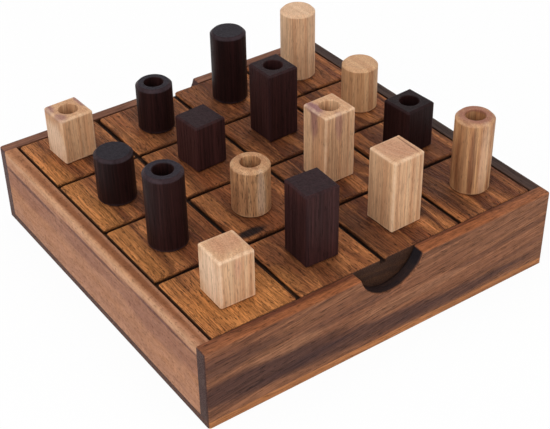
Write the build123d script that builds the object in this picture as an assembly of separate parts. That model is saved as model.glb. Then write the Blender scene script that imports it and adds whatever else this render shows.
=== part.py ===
from build123d import *
import math
import os

# Wooden four-in-a-row game: an open tray, a loose grooved playing board let into it,
# and sixteen loose playing pieces standing on the board.
# Frame: origin at the middle of the tray's underside, +X right along the front wall,
# +Y from the front wall to the back wall, +Z up. All lengths are millimetres.

# Tray
tray_width = 181.5
tray_depth = 180.5
tray_height = 40.0
base_thickness = 4.0
wall_thickness = 6.0
corner_round = 1.2
wall_edge_round = 0.9
base_edge_chamfer = 0.5

# Finger notch in the top edge of the front and back walls
notch_radius = 16.8
notch_depth = 13.0
notch_edge_chamfer = 0.4

# Corner blocks that carry the playing board
block_side = 10.0
block_chamfer = 1.5

# Playing board and its running gaps to the four walls
board_thickness = 14.0
board_gap_left = 1.4
board_gap_right = 0.5
board_gap_front = 0.4
board_gap_back = 0.4
board_corner_round = 1.6
board_edge_chamfer = 0.6
board_under_chamfer = 0.5

# Saw cuts: the outer squares are smaller, because the board was trimmed after grooving
groove_width = 2.3
groove_depth = 2.4
groove_mouth_round = 1.5
trim_left = 1.2
trim_right = 2.4
trim_front = 0.8
trim_back = 2.8
squares_per_side = 4

# Playing pieces: the square ones are cut from a stick and the round ones from a dowel
square_side = 16.5
square_tall_height = 35.5
square_short_height = 23.5
round_diameter = 17.5
round_tall_height = 36.5
round_short_height = 24.0
square_edge_round = 1.0
square_rim_bevel = 0.8
round_top_bevel = 1.4
round_foot_bevel = 0.9
hole_diameter = 9.2
hole_depth = 10.0
hole_point_angle = 118.0
hole_rim_chamfer = 0.25

# What stands on each square: one list for each row from the front, each from left to right
layout = [
    ["light square solid short", "dark square solid tall", "light square solid tall", "light round hole tall"],
    ["dark round hole tall", "light round hole short", "light square hole tall", "dark square hole short"],
    ["dark round solid short", "dark square solid short", "dark square hole tall", "light round solid short"],
    ["light square hole short", "dark round hole short", "dark round solid tall", "light round solid tall"],
]

# How far each piece was set down from the middle of its square, to the right and to the back
set_down = [
    [(-0.5, -1.5), (0.0, 0.0), (0.0, -1.5), (1.5, -2.0)],
    [(-2.0, -0.5), (-2.0, -1.0), (-1.5, 0.5), (1.0, -2.0)],
    [(-3.0, -1.5), (1.0, 1.0), (-0.5, 2.0), (5.0, -3.5)],
    [(-2.0, 1.0), (-0.5, -2.0), (0.5, 0.0), (-0.5, -1.5)],
]

# How far each piece is turned, in degrees
turned = [
    [-1.5, -2.5, 1.5, 0.0],
    [0.0, 0.0, 1.5, 3.5],
    [0.0, 4.5, 1.5, 0.0],
    [2.0, 0.0, 0.0, 0.0],
]

# Sizes that follow from the ones above
wall_height = tray_height - base_thickness
inner_width = tray_width - 2 * wall_thickness
inner_depth = tray_depth - 2 * wall_thickness
board_left = -inner_width / 2 + board_gap_left
board_right = inner_width / 2 - board_gap_right
board_front = -inner_depth / 2 + board_gap_front
board_back = inner_depth / 2 - board_gap_back
board_width = board_right - board_left
board_depth = board_back - board_front
board_underside = tray_height - board_thickness
block_height = board_underside - base_thickness
pitch_x = (board_width + trim_left + trim_right) / squares_per_side
pitch_y = (board_depth + trim_front + trim_back) / squares_per_side


def groove_x(number):
    """X of the numbered saw cut that runs front to back, counted from the left."""
    return board_left - trim_left + number * pitch_x


def groove_y(number):
    """Y of the numbered saw cut that runs left to right, counted from the front."""
    return board_front - trim_front + number * pitch_y


# The finger notches line up with the middle saw cut
notch_x = groove_x(squares_per_side / 2)


def make_base():
    """Bottom board with rounded corners and a chamfered lower edge."""
    board = Box(tray_width, tray_depth, base_thickness, align=(Align.CENTER, Align.CENTER, Align.MIN))
    board = fillet(board.edges().filter_by(Axis.Z), corner_round)
    return chamfer(board.faces().sort_by(Axis.Z)[0].edges(), base_edge_chamfer)


def make_notched_wall():
    """Front wall: drawn flat as seen from the front, cut with its notch, then stood up."""
    blank = Rectangle(tray_width, wall_height, align=(Align.CENTER, Align.MIN))
    notch_centre_height = wall_height - notch_depth + notch_radius
    outline = blank - Pos(notch_x, notch_centre_height) * Circle(notch_radius)
    wall = extrude(outline, wall_thickness)
    outer_ends = [
        e for e in wall.edges().filter_by(Axis.Y)
        if e.center().Z > wall_thickness / 2 and abs(e.center().X) > tray_width / 4
    ]
    wall = fillet(outer_ends, corner_round)
    top_edges = [
        e for e in wall.edges().filter_by(Axis.X)
        if e.center().Y > wall_height / 2 and e.center().Z > wall_thickness / 2
    ]
    wall = fillet(top_edges, wall_edge_round)
    notch_edges = [
        e for e in wall.edges().filter_by(GeomType.CIRCLE)
        if abs(e.center().X - notch_x) < notch_radius and e.center().Z > wall_thickness / 2
    ]
    wall = chamfer(notch_edges, notch_edge_chamfer)
    return Pos(0, -inner_depth / 2, base_thickness) * Rot(90, 0, 0) * wall


def make_side_wall():
    """Right wall, butted between the front and back walls, with its outer top edge rounded."""
    wall = Box(
        wall_thickness, inner_depth, wall_height,
        align=(Align.MIN, Align.CENTER, Align.MIN),
    )
    wall = Pos(inner_width / 2, 0, base_thickness) * wall
    top_edges = wall.faces().sort_by(Axis.Z)[-1].edges().filter_by(Axis.Y)
    return fillet(top_edges.sort_by(Axis.X)[-1], wall_edge_round)


def make_corner_block():
    """Block glued into the back right corner, its free upright edge chamfered."""
    block = Pos(inner_width / 2, inner_depth / 2, base_thickness) * Box(
        block_side, block_side, block_height,
        align=(Align.MAX, Align.MAX, Align.MIN),
    )
    free_edge = block.edges().filter_by(Axis.Z).sort_by(Axis((0, 0, 0), (1, 1, 0)))[0]
    return chamfer(free_edge, block_chamfer)


def make_board():
    """Playing board: panel with three saw cuts each way, run out at rounded mouths, edges chamfered."""
    middle = ((board_left + board_right) / 2, (board_front + board_back) / 2)
    panel = Pos(*middle, board_underside) * Box(
        board_width, board_depth, board_thickness,
        align=(Align.CENTER, Align.CENTER, Align.MIN),
    )
    panel = fillet(panel.edges().filter_by(Axis.Z), board_corner_round)
    panel = chamfer(panel.faces().sort_by(Axis.Z)[0].edges(), board_under_chamfer)
    stand = (Align.CENTER, Align.CENTER, Align.MAX)
    for number in range(1, squares_per_side):
        across = Box(tray_width, groove_width, groove_depth, align=stand)
        along = Box(groove_width, tray_depth, groove_depth, align=stand)
        panel -= Pos(0, groove_y(number), tray_height) * across
        panel -= Pos(groove_x(number), 0, tray_height) * along
    mouths = [
        e for e in panel.edges().filter_by(Axis.Z)
        if abs(e.length - groove_depth) < groove_depth / 10 and at_board_edge(e.center())
    ]
    panel = fillet(mouths, groove_mouth_round)
    squares = [f for f in panel.faces().filter_by(Axis.Z) if f.center().Z > tray_height - groove_depth / 2]
    rims = [e for square in squares for e in square.edges()]
    return chamfer(rims, board_edge_chamfer)


def at_board_edge(point):
    """Whether a point lies on one of the board's four upright sides."""
    near = groove_width / 10
    beside = min(abs(point.X - board_left), abs(point.X - board_right))
    before = min(abs(point.Y - board_front), abs(point.Y - board_back))
    return min(beside, before) < near


def make_hole():
    """Blind drilled hole with its drill point and a small rim chamfer, mouth at height zero."""
    radius = hole_diameter / 2
    point_depth = radius / math.tan(math.radians(hole_point_angle / 2))
    with BuildPart() as hole:
        with BuildSketch(Plane.XZ):
            with BuildLine():
                Polyline(
                    (0, hole_rim_chamfer),
                    (radius + 2 * hole_rim_chamfer, hole_rim_chamfer),
                    (radius, -hole_rim_chamfer),
                    (radius, -hole_depth),
                    (0, -hole_depth - point_depth),
                    close=True,
                )
            make_face()
        revolve(axis=Axis.Z)
    return hole.part


def make_square_piece(height):
    """Square piece standing on height zero, its uprights rounded and both ends bevelled."""
    stick = Box(square_side, square_side, height, align=(Align.CENTER, Align.CENTER, Align.MIN))
    stick = fillet(stick.edges().filter_by(Axis.Z), square_edge_round)
    ends = stick.faces().filter_by(Axis.Z)
    return chamfer([e for end in ends for e in end.edges()], square_rim_bevel)


def make_round_piece(height):
    """Round piece standing on height zero, with a wide bevel at its top and a small one at its foot."""
    dowel = Cylinder(round_diameter / 2, height, align=(Align.CENTER, Align.CENTER, Align.MIN))
    foot = dowel.edges().filter_by(GeomType.CIRCLE).sort_by(Axis.Z)[0]
    dowel = chamfer(foot, round_foot_bevel)
    top = dowel.edges().filter_by(GeomType.CIRCLE).sort_by(Axis.Z)[-1]
    return chamfer(top, round_top_bevel)


def square_middle(column, row):
    """Middle of a square of the board, from the saw cuts or edges on each side of it."""
    x_lines = [board_left] + [groove_x(n) for n in range(1, squares_per_side)] + [board_right]
    y_lines = [board_front] + [groove_y(n) for n in range(1, squares_per_side)] + [board_back]
    return (x_lines[column - 1] + x_lines[column]) / 2, (y_lines[row - 1] + y_lines[row]) / 2


front_wall = make_notched_wall()
right_wall = make_side_wall()
back_right_block = make_corner_block()
front_right_block = mirror(back_right_block, about=Plane.XZ)

shapes = {
    "base_board": make_base(),
    "front_wall": front_wall,
    "back_wall": mirror(front_wall, about=Plane.XZ),
    "left_wall": mirror(right_wall, about=Plane.YZ),
    "right_wall": right_wall,
    "corner_block_back_right": back_right_block,
    "corner_block_back_left": mirror(back_right_block, about=Plane.YZ),
    "corner_block_front_right": front_right_block,
    "corner_block_front_left": mirror(front_right_block, about=Plane.YZ),
    "playing_board": make_board(),
}
heights = {
    "square tall": square_tall_height,
    "square short": square_short_height,
    "round tall": round_tall_height,
    "round short": round_short_height,
}
for row in range(squares_per_side):
    for column in range(squares_per_side):
        colour, form, top, height = layout[row][column].split()
        middle_x, middle_y = square_middle(column + 1, row + 1)
        right, back = set_down[row][column]
        place = Pos(middle_x + right, middle_y + back, tray_height) * Rot(0, 0, turned[row][column])
        stands = heights[form + " " + height]
        piece = make_square_piece(stands) if form == "square" else make_round_piece(stands)
        if top == "hole":
            piece -= Pos(0, 0, stands) * make_hole()
        shapes["piece_%s_%s_%s_%s" % (colour, form, top, height)] = place * piece

os.makedirs("parts", exist_ok=True)
for node, shape in shapes.items():
    shape.label = node
    export_step(shape, "parts/%s.step" % node)
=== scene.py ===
# Looks, light and camera of the wooden four-in-a-row game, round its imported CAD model.
# The frame is the part's own: origin at the middle of the tray's underside, +X right along
# the front wall, +Y to the back wall, +Z up. Blender's lengths are metres. Every solid is
# carried over from the CAD as it is, and only gets its wood here. All places and lengths
# inside the woods are millimetres.

import math
from collections import namedtuple

import bpy
from mathutils import Matrix, Vector


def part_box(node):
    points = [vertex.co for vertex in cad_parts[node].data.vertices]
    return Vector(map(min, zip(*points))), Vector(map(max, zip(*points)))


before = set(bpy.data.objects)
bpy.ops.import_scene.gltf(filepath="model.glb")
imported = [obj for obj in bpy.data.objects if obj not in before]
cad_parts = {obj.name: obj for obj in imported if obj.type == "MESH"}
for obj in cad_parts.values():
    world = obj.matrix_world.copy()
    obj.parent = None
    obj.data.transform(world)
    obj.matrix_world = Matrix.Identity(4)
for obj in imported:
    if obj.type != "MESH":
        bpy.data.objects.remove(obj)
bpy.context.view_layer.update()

MM = 0.001

# Places on the tray and the playing board, read from the frame
board_low, board_high = [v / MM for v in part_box("playing_board")]
BOARD_MIDDLE = (board_low + board_high) / 2
BOARD_HALF = (board_high - board_low) / 2
BOARD_TOP = board_high.z
INNER_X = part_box("right_wall")[0].x / MM
INNER_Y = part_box("back_wall")[0].y / MM
OUTER_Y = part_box("back_wall")[1].y / MM

# Finger notches, with the place and sizes that the part's source gives them
NOTCH_X = 1.05
NOTCH_RADIUS = 16.8
NOTCH_DEPTH = 13.0
NOTCH_CENTRE = (NOTCH_X, 0.0, BOARD_TOP - NOTCH_DEPTH + NOTCH_RADIUS)


class Graph:
    """Adds nodes to a shader's tree. Each call adds one node and gives back its output."""

    def __init__(self, tree):
        self.nodes = tree.nodes
        self.links = tree.links
        self.nodes.clear()

    def add(self, kind):
        """Adds a node and gives back the node itself."""
        return self.nodes.new("ShaderNode" + kind)

    def put(self, socket, value):
        """Links another node's output to the socket, or sets the socket to a plain value."""
        if isinstance(value, bpy.types.NodeSocket):
            self.links.new(value, socket)
        elif isinstance(value, tuple) and socket.type == "RGBA":
            socket.default_value = (*value, 1.0)
        else:
            socket.default_value = value

    def math(self, operation, a, b=0.0, clamp=False):
        node = self.add("Math")
        node.operation = operation
        node.use_clamp = clamp
        self.put(node.inputs[0], a)
        self.put(node.inputs[1], b)
        return node.outputs[0]

    def plus(self, a, b):
        return self.math("ADD", a, b)

    def minus(self, a, b):
        return self.math("SUBTRACT", a, b)

    def times(self, a, b):
        return self.math("MULTIPLY", a, b)

    def vector(self, operation, a, b=(0.0, 0.0, 0.0)):
        node = self.add("VectorMath")
        node.operation = operation
        self.put(node.inputs[0], a)
        self.put(node.inputs[1], b)
        return node.outputs["Value"] if operation == "LENGTH" else node.outputs[0]

    def scale(self, colour, factor):
        node = self.add("VectorMath")
        node.operation = "SCALE"
        self.put(node.inputs[0], colour)
        self.put(node.inputs["Scale"], factor)
        return node.outputs[0]

    def turn(self, place, shift, angles):
        """The place as a frame sees it that is shifted and then turned by angles in degrees."""
        node = self.add("Mapping")
        node.vector_type = "TEXTURE"
        self.put(node.inputs["Vector"], place)
        node.inputs["Location"].default_value = shift
        node.inputs["Rotation"].default_value = [math.radians(angle) for angle in angles]
        return node.outputs[0]

    def split(self, place):
        """The place's X, Y and Z, as three outputs."""
        node = self.add("SeparateXYZ")
        self.put(node.inputs[0], place)
        return node.outputs

    def noise(self, place, scale, detail, rough, colour=False):
        node = self.add("TexNoise")
        self.put(node.inputs["Vector"], place)
        node.inputs["Scale"].default_value = scale
        node.inputs["Detail"].default_value = detail
        node.inputs["Roughness"].default_value = rough
        return node.outputs["Color" if colour else "Fac"]

    def noise_along(self, value, scale, detail, rough):
        """Noise that changes along one number only."""
        node = self.add("TexNoise")
        node.noise_dimensions = "1D"
        self.put(node.inputs["W"], value)
        node.inputs["Scale"].default_value = scale
        node.inputs["Detail"].default_value = detail
        node.inputs["Roughness"].default_value = rough
        return node.outputs["Fac"]

    def span(self, value, low, high, to_low=0.0, to_high=1.0, soft=True):
        """Carries the range low to high over to another one, and stays inside that."""
        node = self.add("MapRange")
        node.interpolation_type = "SMOOTHSTEP" if soft else "LINEAR"
        self.put(node.inputs["Value"], value)
        node.inputs["From Min"].default_value = low
        node.inputs["From Max"].default_value = high
        node.inputs["To Min"].default_value = to_low
        node.inputs["To Max"].default_value = to_high
        return node.outputs[0]

    def fade(self, value, full, gone):
        """1 where the value has reached full, 0 where it has reached gone, soft between them."""
        if full < gone:
            return self.span(value, full, gone, 1.0, 0.0)
        return self.span(value, gone, full)

    def mix(self, amount, a, b):
        """Colour a where the amount is 0 and colour b where it is 1."""
        node = self.add("Mix")
        node.data_type = "RGBA"
        node.clamp_factor = True
        self.put(node.inputs[0], amount)
        self.put(node.inputs[6], a)
        self.put(node.inputs[7], b)
        return node.outputs[2]


class Finish(Graph):
    """A material with one main shader."""

    def __init__(self, name):
        self.material = bpy.data.materials.new(name)
        self.material.use_nodes = True
        super().__init__(self.material.node_tree)
        self.output = self.add("OutputMaterial")
        self.shader = self.add("BsdfPrincipled")
        self.links.new(self.shader.outputs[0], self.output.inputs[0])


def srgb(red, green, blue):
    """A colour written as it shows on screen, 0 to 255, as the shader's linear values."""
    def linear(channel):
        channel = channel / 255.0
        return channel / 12.92 if channel <= 0.04045 else ((channel + 0.055) / 1.055) ** 2.4
    return (linear(red), linear(green), linear(blue))


def stained(colour, tone):
    """The colour in a stick of the same wood with another tone, redder as it darkens."""
    powers = (0.8, 1.25, 1.9)
    return tuple(channel * tone ** power for channel, power in zip(colour, powers))


def box_of(node):
    """A CAD node's lowest and highest corner at rest, in millimetres."""
    low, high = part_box(node)
    return tuple(low / MM), tuple(high / MM)


# A mark's middle and its reach each way, its colour and how strongly it covers, how ragged
# its edge is, and the seed of that edge
Mark = namedtuple("Mark", "middle reach colour strength ragged seed")

# How near a face a place counts as on it, and how far away it no longer does
ON_FACE = 0.1
OFF_FACE = 0.5

# How wide a rim is, on each of the two faces that meet there
RIM_REACH = 2.0


# Places on the wood: each function gives 1 where it applies and 0 elsewhere
def on_mark(graph, own, mark):
    """A soft oval, as long each way as the mark's reach, with a ragged edge."""
    away = graph.vector("DIVIDE", graph.vector("SUBTRACT", own, mark.middle), mark.reach)
    seeded = graph.vector("ADD", graph.vector("DIVIDE", own, mark.reach), (mark.seed,) * 3)
    edge = graph.noise(seeded, 1.6, 4.0, 0.65)
    ragged = graph.times(graph.minus(edge, 0.5), mark.ragged)
    distance = graph.plus(graph.vector("LENGTH", away), ragged)
    return graph.fade(distance, full=0.45, gone=1.1)


def on_end_grain(graph, grain):
    """Surfaces that cut across the grain."""
    facing = graph.split(graph.add("TexCoord").outputs["Normal"])["XYZ".index(grain)]
    return graph.fade(graph.math("ABSOLUTE", facing), full=0.9, gone=0.6)


def under_top(graph, own, full, gone):
    """Everything deeper than full below the board's top, and nothing above the depth gone."""
    return graph.fade(graph.split(own)[2], full=BOARD_TOP - full, gone=BOARD_TOP - gone)


def on_board_side(graph, own):
    """The playing board's four upright sides."""
    x, y, _ = graph.split(own)
    across = graph.math("ABSOLUTE", graph.minus(x, BOARD_MIDDLE.x))
    along = graph.math("ABSOLUTE", graph.minus(y, BOARD_MIDDLE.y))
    right = graph.fade(across, full=BOARD_HALF.x - ON_FACE, gone=BOARD_HALF.x - OFF_FACE)
    back = graph.fade(along, full=BOARD_HALF.y - ON_FACE, gone=BOARD_HALF.y - OFF_FACE)
    return graph.math("MAXIMUM", right, back)


def on_board_edge(graph, own):
    """The board's upright sides, up to the chamfer of their upper edge."""
    return graph.times(under_top(graph, own, full=0.5, gone=0.1), on_board_side(graph, own))


def in_grooves(graph, own):
    """The board's saw cuts, from a little below its top, and its underside."""
    inward = graph.minus(1.0, on_board_side(graph, own))
    return graph.times(under_top(graph, own, full=1.8, gone=0.8), inward)


def in_notch(graph, own):
    """The round surface of a finger notch, but not its outer rim."""
    away = graph.vector("MULTIPLY", graph.vector("SUBTRACT", own, NOTCH_CENTRE), (1.0, 0.0, 1.0))
    distance = graph.vector("LENGTH", away)
    near = graph.fade(distance, full=NOTCH_RADIUS + ON_FACE / 2, gone=NOTCH_RADIUS + OFF_FACE)
    near = graph.times(near, under_top(graph, own, full=1.0, gone=0.2))
    outward = graph.math("ABSOLUTE", graph.split(own)[1])
    return graph.times(near, graph.fade(outward, full=OUTER_Y - 1.6, gone=OUTER_Y - 0.5))


def inside_tray(graph, own):
    """The walls' inner faces, out of the light beside and under the board."""
    x, y, _ = graph.split(own)
    across = graph.fade(graph.math("ABSOLUTE", x), full=INNER_X + ON_FACE, gone=INNER_X + OFF_FACE)
    along = graph.fade(graph.math("ABSOLUTE", y), full=INNER_Y + ON_FACE, gone=INNER_Y + OFF_FACE)
    return graph.times(graph.times(across, along), under_top(graph, own, full=1.2, gone=0.4))


def near_end(graph, place, low, high):
    """Near either end of the range from low to high."""
    gap = graph.math("MINIMUM", graph.minus(place, low), graph.minus(high, place))
    return graph.fade(gap, full=0.0, gone=RIM_REACH)


def box_rim(graph, own, low, high):
    """Near two faces of the piece's box at once, so along its edges."""
    across, along, upright = [near_end(graph, *axis) for axis in zip(graph.split(own), low, high)]
    return graph.math("SUBTRACT", graph.plus(graph.plus(across, along), upright), 1.0, clamp=True)


def round_rim(graph, own, low, high):
    """Near a dowel's round side and one of its ends at once, so along its rims."""
    centre = ((low[0] + high[0]) / 2, (low[1] + high[1]) / 2, 0.0)
    radius = (high[0] - low[0]) / 2
    flat = graph.vector("MULTIPLY", graph.vector("SUBTRACT", own, centre), (1.0, 1.0, 0.0))
    side = graph.fade(graph.minus(radius, graph.vector("LENGTH", flat)), full=0.0, gone=RIM_REACH)
    end = near_end(graph, graph.split(own)[2], low[2], high[2])
    return graph.math("SUBTRACT", graph.plus(side, end), 1.0, clamp=True)


# Turns that lay each grain direction along the wood's own X
GRAIN_TURN = {"X": (0.0, 0.0, 0.0), "Y": (0.0, 0.0, 90.0), "Z": (0.0, -90.0, 0.0)}

# What a wood is like where its caller doesn't say
WOOD = dict(
    pith=(0.0, 30.0, -60.0),  # middle of the growth rings, beside the grain
    shift=(0.0, 0.0, 0.0),  # where in the log the piece was cut
    tilt=(0.0, 0.0, 0.0),  # turn of the grain from its plain direction, in degrees
    warp=2.5,  # how unevenly the rings run
    ring_gap=6.0,  # width of a growth ring
    ring_share=0.5,  # how strongly the rings show
    broad_gap=14.0,  # width of the broad colour changes
    accent_share=0.5,  # how strongly they show
    comb_gap=0.9,  # width of a fibre
    comb_length=50.0,  # length of a fibre
    comb_share=0.25,  # how strongly the fibres show
    pore_length=6.0,  # length of a pore
    pore_share=0.35,  # how dark the pores are
    ripple_share=0.0,  # how strongly the bands across the grain show
    tone=1.0,  # lightness of the whole
    end_grain=None,  # the colour that end grain turns to, and how strongly
    marks=(),  # the wood's marks, the later ones over the earlier
    rim=None,  # a rim's shape and the lowest and highest corner of its piece
    rim_colour=None,  # what the rim turns to, mostly a painted highlight
    shades=(),  # pairs of a place on the wood and the painted shade put there
    roughness=0.55,
    shine=0.12,
    bump_depth=0.08,
)

# What every wood has in common
STRAY = 4.0  # how far a warp of 1 bends the rings
FINE_RINGS = 5.0  # fine rings in the width of a growth ring
FINE_SHARE = 0.4  # how strongly they show beside the growth rings
BROAD_STRETCH = 0.14  # broad colour changes: their fineness along the grain over that across it
PORE_FINENESS = 1.9  # pores in the width of a fibre
PORE_SINK = 0.6  # how deep a pore is beside a fibre's height
PORE_DULLNESS = 0.12
RIM_SHARE = 0.6
SHADE_SHARE = 0.92
EASED_RADIUS = 0.5
EASED_SAMPLES = 6


def make_wood(name, grain, light, dark, accent, **changes):
    """Oiled wood as one solid block of grain, so that end grain and long grain agree.

    A carried-over solid sits at the origin, so its object coordinates are the part's frame.
    """
    style = dict(WOOD, **changes)
    graph = Finish(name)
    own = graph.vector("DIVIDE", graph.add("TexCoord").outputs["Object"], (MM, MM, MM))
    lie = tuple(plain + extra for plain, extra in zip(GRAIN_TURN[grain], style["tilt"]))
    laid = graph.turn(own, style["shift"], lie)
    stray = STRAY * style["warp"]
    drift = graph.vector("MULTIPLY", laid, (0.012, 0.045, 0.045))
    drift = graph.vector("SUBTRACT", graph.noise(drift, 1.0, 3.0, 0.55, colour=True), (0.5, 0.5, 0.5))
    bent = graph.vector("ADD", laid, graph.vector("MULTIPLY", drift, (0.0, stray, stray)))

    # Growth rings round the pith, which runs along the grain outside the piece
    across = graph.vector("MULTIPLY", graph.vector("SUBTRACT", bent, style["pith"]), (0.0, 1.0, 1.0))
    ring = graph.vector("LENGTH", across)
    broad_rings = graph.noise_along(ring, 1.0 / style["ring_gap"], 3.0, 0.65)
    fine_rings = graph.noise_along(ring, FINE_RINGS / style["ring_gap"], 2.0, 0.5)
    broad_share = graph.times(graph.span(broad_rings, 0.3, 0.7), style["ring_share"])
    fine_share = graph.times(graph.span(fine_rings, 0.35, 0.7), FINE_SHARE * style["ring_share"])
    body = graph.mix(fine_share, graph.mix(broad_share, light, dark), dark)

    # Broad colour changes, stretched along the grain
    wide = 1.0 / style["broad_gap"]
    broad = graph.vector("MULTIPLY", bent, (BROAD_STRETCH * wide, wide, wide))
    broad = graph.span(graph.noise(broad, 1.0, 3.0, 0.6), 0.42, 0.68)
    body = graph.mix(graph.times(broad, style["accent_share"]), body, accent)

    # End grain, which takes up more oil
    if style["end_grain"]:
        end_colour, end_share = style["end_grain"]
        body = graph.mix(graph.times(on_end_grain(graph, grain), end_share), body, end_colour)

    # Marks at chosen places
    for mark in style["marks"]:
        body = graph.mix(graph.times(on_mark(graph, own, mark), mark.strength), body, mark.colour)

    # Combed fibres, pores and the ripple of interlocked grain
    fine = 1.0 / style["comb_gap"]
    comb = graph.vector("MULTIPLY", bent, (1.0 / style["comb_length"], fine, fine))
    lightest = 1.0 + style["comb_share"]
    darkest = 1.0 - style["comb_share"]
    comb = graph.span(graph.noise(comb, 1.0, 3.0, 0.65), 0.37, 0.63, darkest, lightest, soft=False)
    finest = PORE_FINENESS * fine
    pores = graph.vector("MULTIPLY", bent, (1.0 / style["pore_length"], finest, finest))
    pores = graph.span(graph.noise(pores, 1.0, 2.0, 0.5), 0.56, 0.66)
    ripple = graph.noise(graph.vector("MULTIPLY", laid, (0.5, 0.16, 0.16)), 1.0, 3.0, 0.6)
    sway = style["ripple_share"]
    ripple = graph.span(ripple, 0.3, 0.7, 1.0 - sway, 1.0 + sway, soft=False)
    tone = graph.times(graph.times(comb, ripple), style["tone"])
    tone = graph.times(tone, graph.minus(1.0, graph.times(pores, style["pore_share"])))
    body = graph.scale(body, tone)

    # Rims along the eased edges, in patches: a painted highlight, partly rubbed wear on the light
    # pieces, and darker brown on the dark squares
    if style["rim"]:
        shape, low, high = style["rim"]
        rim_patches = graph.span(graph.noise(own, 0.3, 3.0, 0.6), 0.3, 0.65, 0.35, 1.0)
        amount = graph.times(shape(graph, own, low, high), rim_patches)
        body = graph.mix(graph.times(amount, RIM_SHARE), body, style["rim_colour"])

    # Painted shade: a dark colour where shade falls, in the saw cuts, the notches and the gaps beside
    # and under the board
    for place, colour in style["shades"]:
        body = graph.mix(graph.times(place(graph, own), SHADE_SHARE), body, colour)

    # Fibres stand a little proud and polished, pores sit low and dull, and edges are eased
    rough = style["roughness"]
    rough = graph.span(comb, darkest, lightest, rough + 0.08, rough - 0.05)
    rough = graph.math("ADD", rough, graph.times(pores, PORE_DULLNESS), clamp=True)
    eased = graph.add("Bevel")
    eased.samples = EASED_SAMPLES
    eased.inputs["Radius"].default_value = EASED_RADIUS * MM
    bump = graph.add("Bump")
    bump.inputs["Distance"].default_value = style["bump_depth"] * MM
    bump.inputs["Strength"].default_value = 1.0
    graph.put(bump.inputs["Height"], graph.minus(comb, graph.times(pores, PORE_SINK)))
    graph.put(bump.inputs["Normal"], eased.outputs[0])
    graph.put(graph.shader.inputs["Base Color"], body)
    graph.put(graph.shader.inputs["Roughness"], rough)
    graph.put(graph.shader.inputs["Normal"], bump.outputs[0])
    graph.shader.inputs["Specular IOR Level"].default_value = style["shine"]
    return graph.material


def dress(node, material):
    """Gives a carried-over node its finish."""
    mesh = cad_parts[node].data
    mesh.materials.clear()
    mesh.materials.append(material)


# Tray
# Painted shade colours for the board's saw cuts and the front notch
SHADOW = srgb(26, 16, 12)
NOTCH_SHADE = srgb(16, 15, 20)
# Dark figure of the front wall, also the painted shade in the back wall's notch
PLUM = srgb(66, 42, 38)
# Painted shade on the walls' inner faces
INSIDE_SHADE = srgb(72, 47, 34)
FAWN = srgb(158, 110, 80)
DUSK = srgb(132, 86, 68)
COCOA = srgb(100, 62, 54)

dress("front_wall", make_wood(
    "front_wall_wood", "X", srgb(148, 98, 68), srgb(88, 54, 40), srgb(124, 74, 50),
    pith=(0.0, 40.0, -75.0), tilt=(0.0, -6.0, 0.0), warp=1.2, ring_gap=2.2, ring_share=0.65,
    accent_share=0.4, comb_gap=0.75, comb_length=18.0, comb_share=0.26, pore_length=5.0,
    pore_share=0.5, ripple_share=0.08, tone=0.91, end_grain=(srgb(62, 44, 42), 0.9),
    # Painted shade on the inner faces below the board's top and on the notch's round surface
    shades=((inside_tray, INSIDE_SHADE), (in_notch, NOTCH_SHADE)),
    marks=(
        # Dark band along the lower half, and smaller ones and lighter wood above it
        Mark((-72.0, -90.0, 16.0), (64.0, 20.0, 8.0), PLUM, 0.85, 1.0, 1.0),
        Mark((-20.0, -90.0, 11.0), (60.0, 20.0, 5.0), PLUM, 0.75, 1.0, 2.0),
        Mark((40.0, -90.0, 8.0), (55.0, 20.0, 4.0), PLUM, 0.7, 1.0, 3.0),
        Mark((-84.0, -90.0, 31.0), (34.0, 20.0, 6.0), PLUM, 0.6, 1.0, 4.0),
        Mark((-52.0, -90.0, 24.0), (26.0, 20.0, 4.0), FAWN, 0.5, 1.2, 33.0),
        Mark((10.0, -90.0, 20.0), (40.0, 20.0, 4.0), FAWN, 0.4, 1.2, 34.0),
        Mark((-25.0, -90.0, 27.0), (30.0, 20.0, 3.0), PLUM, 0.35, 1.2, 17.0),
        # Top edge: warm, with a dark fringe beside the board
        Mark((0.0, -90.0, 40.5), (130.0, 12.0, 1.6), srgb(146, 84, 48), 0.8, 0.7, 5.0),
        Mark((-45.0, -85.0, 40.5), (60.0, 2.4, 2.0), srgb(84, 42, 27), 0.85, 1.4, 16.0),
        Mark((50.0, -84.6, 40.5), (50.0, 1.6, 2.0), srgb(92, 48, 30), 0.8, 1.4, 18.0),
    ),
))
dress("back_wall", make_wood(
    "back_wall_wood", "X", srgb(136, 90, 66), srgb(92, 58, 46), srgb(112, 74, 58),
    pith=(0.0, -50.0, -45.0), shift=(90.0, 0.0, 20.0), ring_gap=4.0, ring_share=0.7,
    comb_length=22.0, end_grain=(srgb(70, 50, 48), 0.85),
    # Painted shade on the inner faces below the board's top, and brown painted shade in the notch
    shades=((inside_tray, INSIDE_SHADE), (in_notch, PLUM)),
))
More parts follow.
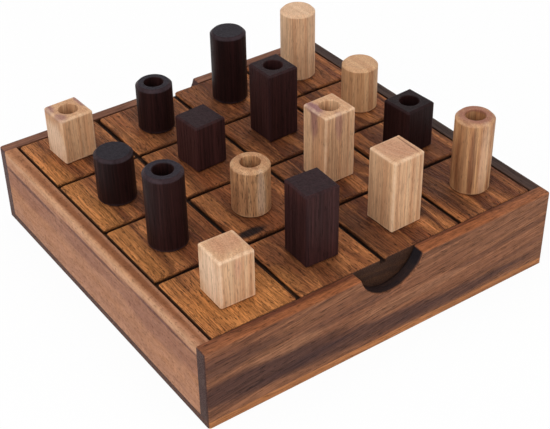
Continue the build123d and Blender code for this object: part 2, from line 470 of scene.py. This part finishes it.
dress("left_wall", make_wood(
    "left_wall_wood", "Y", srgb(180, 129, 98), srgb(138, 92, 70), srgb(174, 116, 74),
    pith=(0.0, 60.0, 20.0), shift=(30.0, 0.0, 0.0), ring_gap=5.0, comb_gap=1.4,
    comb_length=7.0, comb_share=0.08, pore_length=1.6, pore_share=0.3, ripple_share=0.1,
    # Painted shade on the inner face below the board's top
    tone=0.89, shades=((inside_tray, INSIDE_SHADE),),
    marks=(
        # Light upper edge
        Mark((-91.0, 0.0, 38.5), (2.5, 140.0, 2.6), srgb(204, 158, 120), 0.6, 0.5, 19.0),
        # Dusky band that drops towards the back, with a wavy dark line along its top
        Mark((-91.0, 66.0, 26.0), (6.0, 42.0, 6.5), srgb(134, 86, 68), 0.6, 1.2, 6.0),
        Mark((-91.0, 8.0, 28.5), (6.0, 42.0, 6.0), DUSK, 0.6, 1.2, 7.0),
        Mark((-91.0, -56.0, 29.0), (6.0, 48.0, 9.0), DUSK, 0.65, 1.2, 8.0),
        Mark((-91.0, 60.0, 31.5), (6.0, 40.0, 1.5), srgb(98, 60, 52), 0.85, 1.0, 20.0),
        Mark((-91.0, 0.0, 33.5), (6.0, 40.0, 1.3), COCOA, 0.85, 1.0, 21.0),
        Mark((-91.0, -60.0, 35.0), (6.0, 40.0, 1.2), COCOA, 0.85, 1.0, 22.0),
        # Top edge
        Mark((-87.5, 0.0, 40.6), (2.6, 140.0, 1.5), srgb(130, 76, 43), 0.85, 0.6, 35.0),
        Mark((-87.0, -40.0, 40.0), (1.6, 60.0, 2.0), srgb(124, 74, 44), 0.7, 1.2, 23.0),
    ),
))
dress("right_wall", make_wood(
    "right_wall_wood", "Y", srgb(88, 62, 50), srgb(54, 37, 31), srgb(76, 52, 42),
    pith=(0.0, -40.0, -50.0), shift=(70.0, 10.0, 0.0), ring_gap=5.0, ring_share=0.7,
    # Painted shade on the inner face below the board's top
    shades=((inside_tray, INSIDE_SHADE),),
    marks=(Mark((87.5, 0.0, 40.5), (4.0, 150.0, 2.4), srgb(52, 37, 32), 0.8, 0.6, 37.0),),
))
dress("base_board", make_wood(
    "base_board_wood", "X", srgb(176, 116, 72), srgb(120, 75, 47), srgb(160, 99, 57),
    pith=(0.0, 25.0, -80.0), ring_gap=4.0, ring_share=0.6,
    end_grain=(srgb(62, 40, 36), 0.9),
))
block_wood = make_wood(
    "corner_block_wood", "Z", srgb(150, 112, 78), srgb(118, 84, 58), srgb(138, 98, 66),
)
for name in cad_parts:
    if name.startswith("corner_block"):
        dress(name, block_wood)

# Playing board: lighter and darker stretches of its squares, and the knot beside a saw cut
ORANGE = srgb(190, 124, 68)
BROWN = srgb(68, 39, 27)
RUSSET = srgb(96, 52, 30)
UMBER = srgb(34, 21, 18)

dress("playing_board", make_wood(
    "playing_board_wood", "Y", srgb(184, 118, 70), srgb(82, 43, 27), srgb(130, 70, 38),
    pith=(0.0, 20.0, -110.0), warp=2.6, ring_gap=4.0, ring_share=0.95, accent_share=0.6,
    comb_gap=0.72, comb_length=40.0, comb_share=0.42, pore_length=2.6, pore_share=0.7,
    # Painted shade: the board's sides darkened so the gaps beside the walls look deep, and the saw
    # cuts and underside near black
    bump_depth=0.3, shades=((on_board_edge, srgb(54, 36, 28)), (in_grooves, SHADOW)),
    marks=(
        Mark((-80.0, 10.0, 40.0), (8.0, 90.0, 30.0), ORANGE, 0.6, 0.9, 15.0),
        Mark((-62.0, -72.0, 40.0), (30.0, 24.0, 30.0), ORANGE, 0.75, 0.9, 24.0),
        Mark((-58.0, 56.0, 40.0), (7.0, 26.0, 30.0), BROWN, 0.7, 1.1, 25.0),
        Mark((-60.0, 16.0, 40.0), (6.0, 22.0, 30.0), BROWN, 0.6, 1.1, 26.0),
        Mark((-30.0, -58.0, 40.0), (9.0, 22.0, 30.0), RUSSET, 0.6, 1.1, 27.0),
        Mark((-10.0, 0.0, 40.0), (9.0, 26.0, 30.0), RUSSET, 0.6, 1.1, 28.0),
        Mark((-20.0, 68.0, 40.0), (8.0, 26.0, 30.0), RUSSET, 0.5, 1.1, 29.0),
        Mark((6.0, -65.0, 40.0), (8.0, 24.0, 30.0), BROWN, 0.65, 0.9, 11.0),
        Mark((34.0, -52.0, 40.0), (9.0, 24.0, 30.0), BROWN, 0.85, 0.9, 12.0),
        Mark((52.0, -62.0, 40.0), (7.0, 34.0, 30.0), BROWN, 0.7, 0.9, 13.0),
        Mark((78.0, -66.0, 40.0), (8.0, 30.0, 30.0), RUSSET, 0.6, 0.9, 36.0),
        Mark((30.0, 22.0, 40.0), (10.0, 22.0, 30.0), RUSSET, 0.6, 1.1, 30.0),
        Mark((12.0, -20.0, 40.0), (6.0, 20.0, 30.0), BROWN, 0.6, 1.1, 32.0),
        Mark((72.0, -30.0, 40.0), (10.0, 60.0, 30.0), RUSSET, 0.7, 1.1, 31.0),
        Mark((-33.0, -36.5, 40.0), (9.5, 3.5, 10.0), UMBER, 1.0, 0.35, 14.0),
    ),
))

# Playing pieces: how light each one's own stick of wood is. Their order sets where in the
# log each stick was cut.
PIECE_TONE = {
    "light_square_solid_short": 1.0,
    "light_square_solid_tall": 0.98,
    "light_square_hole_tall": 0.98,
    "light_square_hole_short": 0.94,
    "light_round_hole_tall": 0.72,
    "light_round_hole_short": 0.76,
    "light_round_solid_tall": 1.03,
    "light_round_solid_short": 0.79,
    "dark_square_solid_tall": 1.15,
    "dark_square_solid_short": 1.08,
    "dark_square_hole_tall": 0.88,
    "dark_square_hole_short": 0.6,
    "dark_round_hole_tall": 0.64,
    "dark_round_hole_short": 0.58,
    "dark_round_solid_tall": 0.46,
    "dark_round_solid_short": 0.48,
}
STICK_SPACING = 37.0

LIGHT_WOOD = dict(
    broad_gap=4.0, ring_share=0.7, accent_share=0.2, comb_gap=0.6, comb_share=0.17,
    pore_length=4.0, pore_share=0.36, bump_depth=0.05, shine=0.35,
)
DARK_WOOD = dict(
    ring_share=0.6, accent_share=0.4, comb_share=0.3, bump_depth=0.06, roughness=0.42,
    shine=0.07,
)

# Light pieces with stronger brown streaks or pores than the others
PIECE_CHANGES = {
    "light_square_hole_tall": dict(accent_share=0.25),
    "light_round_hole_tall": dict(accent_share=0.7),
    "light_round_hole_short": dict(accent_share=0.55, pore_share=0.85),
}

# Marks on single pieces: stains, streaks and a darker face, and a painted sheen on faces that catch
# the lamps.
# Each gives the place as shares of the piece's own box, the reach each way, the colour and how
# strongly it covers
PieceMark = namedtuple("PieceMark", "share reach colour strength")
PIECE_MARK_RAGGED = 1.0
PIECE_MARK_FIRST_SEED = 40.0
PURPLE = srgb(132, 88, 84)
BARK = srgb(104, 60, 36)
# Painted sheen: cream on the left faces of two square pieces and down the fronts of two dowels, where
# they catch the light
PAINTED_SHEEN = srgb(232, 206, 180)
PIECE_STAINS_AND_SHEEN = {
    "light_square_hole_tall": (
        PieceMark((0.0, 0.5, 0.88), (3.0, 3.2, 13.0), PURPLE, 0.75),
        PieceMark((0.45, 0.0, 0.88), (2.6, 3.0, 11.0), PURPLE, 0.6),
        PieceMark((0.05, 0.65, 1.0), (5.0, 8.0, 2.2), PURPLE, 1.0),
    ),
    "light_square_hole_short": (
        PieceMark((0.0, 0.8, 1.0), (4.5, 6.0, 2.4), PURPLE, 0.9),
        PieceMark((0.1, 0.2, 1.0), (4.0, 5.0, 1.8), PURPLE, 0.7),
        PieceMark((1.0, 0.7, 1.0), (3.5, 8.0, 2.5), PURPLE, 0.9),
        # Painted sheen on the left face, which faces the key lamp
        PieceMark((0.0, 0.5, 0.35), (3.0, 11.0, 13.0), PAINTED_SHEEN, 0.5),
    ),
    "light_round_hole_tall": (
        PieceMark((0.5, 0.5, 1.0), (11.0, 11.0, 1.8), srgb(134, 82, 70), 0.7),
        PieceMark((0.03, 0.4, 0.4), (2.6, 3.2, 40.0), BARK, 0.42),
        PieceMark((0.15, 0.12, 0.4), (1.9, 1.9, 30.0), BARK, 0.75),
        # Painted highlight down the front
        PieceMark((0.45, 0.02, 0.5), (2.8, 2.8, 30.0), PAINTED_SHEEN, 0.2),
    ),
    "light_round_hole_short": (
        PieceMark((0.03, 0.4, 0.3), (2.0, 2.4, 12.0), BARK, 0.5),
        PieceMark((0.13, 0.13, 0.35), (1.0, 1.0, 12.0), BARK, 0.6),
        # Painted highlight down the front
        PieceMark((0.48, 0.02, 0.5), (2.6, 2.4, 16.0), PAINTED_SHEEN, 0.4),
    ),
    "light_square_solid_tall": (
        PieceMark((0.5, 0.5, 1.0), (10.0, 10.0, 1.2), srgb(168, 116, 92), 0.45),
        PieceMark((0.84, 0.5, 1.0), (0.45, 11.0, 1.0), BARK, 0.8),
    ),
    "light_square_solid_short": (
        PieceMark((0.5, 0.0, 0.75), (2.0, 3.0, 6.0), srgb(176, 120, 102), 0.35),
        # Painted sheen on the left face, which faces the key lamp
        PieceMark((0.0, 0.5, 0.5), (3.0, 11.0, 14.0), PAINTED_SHEEN, 0.45),
        PieceMark((0.55, 0.6, 1.0), (9.0, 7.0, 1.2), srgb(168, 114, 84), 0.5),
    ),
    "dark_square_solid_tall": (
        PieceMark((0.0, 0.5, 0.4), (3.0, 13.0, 28.0), srgb(30, 17, 19), 0.6),
    ),
}


def light_piece_wood(name, kind, tone, common):
    """Pale wood, warmer and darker in some sticks, with rims painted lighter, partly as rubbed wear
    and partly as a painted highlight.
    """
    cream = stained(srgb(216, 178, 140), tone)
    tan = stained(srgb(176, 122, 84), tone)
    streak = stained(srgb(132, 82, 50), tone)
    if "round_solid" in kind:
        end_grain = (stained(srgb(206, 170, 138), tone), 0.5)
    else:
        end_grain = (stained(srgb(180, 134, 96), tone), 0.45)
    # Painted highlight along the rims, partly rubbed wear
    rim_colour = stained(srgb(236, 204, 172), tone)
    style = dict(LIGHT_WOOD, end_grain=end_grain, rim_colour=rim_colour, **common)
    style.update(PIECE_CHANGES.get(kind, {}))
    return make_wood(name, "Z", cream, tan, streak, **style)


def dark_piece_wood(name, kind, tone, common):
    """Almost black wood; on the dowels the ends carry a painted bluish sheen and the rims a painted
    highlight, on the others both are brownish.
    """
    # On the dowels: a painted bluish sheen on the ends and a painted highlight on the rims
    if "round" in kind:
        end_colour = srgb(44, 38, 48)
        rim_colour = srgb(84, 70, 76)
    else:
        end_colour = srgb(30, 14, 18)
        rim_colour = srgb(44, 28, 30)
    style = dict(DARK_WOOD, end_grain=(end_colour, 0.85), rim_colour=rim_colour, **common)
    black, coal, brown = srgb(54, 30, 29), srgb(31, 18, 18), srgb(62, 35, 33)
    return make_wood(name, "Z", black, coal, brown, tone=tone, **style)


def stains_and_sheen_on(kind, low, high):
    """The piece's stains and painted sheen as marks in the part's frame."""
    marks = []
    for number, piece_mark in enumerate(PIECE_STAINS_AND_SHEEN.get(kind, ())):
        sides = zip(low, high, piece_mark.share)
        middle = tuple(start + share * (end - start) for start, end, share in sides)
        seed = PIECE_MARK_FIRST_SEED + number
        marks.append(Mark(middle, piece_mark.reach, piece_mark.colour, piece_mark.strength, PIECE_MARK_RAGGED, seed))
    return marks


def dress_pieces():
    """Cuts each piece from its own place in the log and gives it its stains and painted sheen."""
    for index, (kind, tone) in enumerate(PIECE_TONE.items()):
        node = "piece_" + kind
        low, high = box_of(node)
        common = dict(
            pith=(0.0, 14.0 + 3.0 * (index % 5), 9.0 - 4.0 * (index % 4)),
            shift=(low[0] + STICK_SPACING * index, low[1], low[2]),
            warp=0.8,
            ring_gap=3.5,
            rim=(round_rim if "round" in kind else box_rim, low, high),
            marks=stains_and_sheen_on(kind, low, high),
        )
        piece_wood = light_piece_wood if kind.startswith("light") else dark_piece_wood
        dress(node, piece_wood(node + "_wood", kind, tone, common))


dress_pieces()

# Stage: white to the camera, in gloss and through glass, and plain light on the object
FLOOR_SIDE = 3.0
FLOOR_GREY = 0.8
FLOOR_GLOW = 0.95
AMBIENT = 0.5
LAMP_TARGET = (0.0, 0.0, 0.03)


def sees_background(graph):
    """1 on the rays that show the white background and 0 on those that light the object."""
    path = graph.add("LightPath")
    seen = graph.math("MAXIMUM", path.outputs["Is Camera Ray"], path.outputs["Is Transmission Ray"])
    return graph.math("MAXIMUM", seen, path.outputs["Is Glossy Ray"])


def make_floor():
    """Plain pale floor that keeps the object's shadow."""
    half = FLOOR_SIDE / 2
    corners = [(-half, -half, 0.0), (half, -half, 0.0), (half, half, 0.0), (-half, half, 0.0)]
    mesh = bpy.data.meshes.new("floor")
    mesh.from_pydata(corners, [], [(0, 1, 2, 3)])
    floor = bpy.data.objects.new("floor", mesh)
    bpy.context.scene.collection.objects.link(floor)
    graph = Finish("floor_white")
    graph.put(graph.shader.inputs["Base Color"], (FLOOR_GREY, FLOOR_GREY, FLOOR_GREY))
    graph.shader.inputs["Roughness"].default_value = 1.0
    graph.shader.inputs["Specular IOR Level"].default_value = 0.0
    glow = graph.add("Emission")
    blend = graph.add("MixShader")
    graph.put(blend.inputs[0], graph.times(sees_background(graph), FLOOR_GLOW))
    graph.put(blend.inputs[1], graph.shader.outputs[0])
    graph.put(blend.inputs[2], glow.outputs[0])
    graph.put(graph.output.inputs[0], blend.outputs[0])
    mesh.materials.append(graph.material)


def make_world():
    """White surroundings that light the object at a lower level."""
    world = bpy.data.worlds.new("studio")
    bpy.context.scene.world = world
    world.use_nodes = True
    graph = Graph(world.node_tree)
    output = graph.add("OutputWorld")
    background = graph.add("Background")
    background.inputs["Color"].default_value = (1.0, 1.0, 1.0, 1.0)
    level = graph.span(sees_background(graph), 0.0, 1.0, AMBIENT, 1.0, soft=False)
    graph.put(background.inputs["Strength"], level)
    graph.put(output.inputs[0], background.outputs[0])


def make_lamp(name, place, size, power):
    """Large soft lamp that looks at the object."""
    data = bpy.data.lights.new(name, "AREA")
    data.shape = "RECTANGLE"
    data.size, data.size_y = size
    data.energy = power
    lamp = bpy.data.objects.new(name, data)
    lamp.location = place
    ahead = Vector(LAMP_TARGET) - Vector(place)
    lamp.rotation_euler = ahead.to_track_quat("-Z", "Y").to_euler()
    bpy.context.scene.collection.objects.link(lamp)


make_floor()
make_world()
make_lamp("key_left", place=(-0.9, -0.3, 0.7), size=(0.9, 0.9), power=8.0)
make_lamp("top_soft", place=(0.1, 0.4, 1.1), size=(1.0, 0.8), power=4.0)
make_lamp("front_fill", place=(0.4, -1.0, 0.5), size=(0.9, 0.7), power=5.0)

# Camera: the photograph's own viewpoint, for a picture of 550 by 429 pixels
PHOTO_WIDTH = 550
PHOTO_HEIGHT = 429
EYE = (-0.26535, -0.39201, 0.35680)
HEADING = math.radians(34.03)
DOWN = math.radians(36.67)
ROLL = math.radians(-1.32)
FOCAL_PIXELS = 1243.6
AXIS_PIXEL = (265.8, 230.8)
SENSOR = 36.0
NEAREST = 0.01


def make_camera():
    """Looks from the eye along the heading, tipped down and rolled."""
    data = bpy.data.cameras.new("photo_view")
    data.sensor_width = SENSOR
    data.lens = FOCAL_PIXELS * SENSOR / PHOTO_WIDTH
    data.shift_x = (PHOTO_WIDTH / 2 - AXIS_PIXEL[0]) / PHOTO_WIDTH
    data.shift_y = (AXIS_PIXEL[1] - PHOTO_HEIGHT / 2) / PHOTO_WIDTH
    data.clip_start = NEAREST
    camera = bpy.data.objects.new("photo_view", data)
    ahead = Vector((
        math.sin(HEADING) * math.cos(DOWN),
        math.cos(HEADING) * math.cos(DOWN),
        -math.sin(DOWN),
    ))
    right = Vector((math.cos(HEADING), -math.sin(HEADING), 0.0))
    up = right.cross(ahead)
    rolled_right = right * math.cos(ROLL) + up * math.sin(ROLL)
    rolled_up = up * math.cos(ROLL) - right * math.sin(ROLL)
    turn = Matrix((rolled_right, rolled_up, -ahead)).transposed()
    camera.matrix_world = Matrix.Translation(EYE) @ turn.to_4x4()
    bpy.context.scene.collection.objects.link(camera)
    bpy.context.scene.camera = camera


make_camera()
bpy.context.scene.view_settings.view_transform = "Standard"
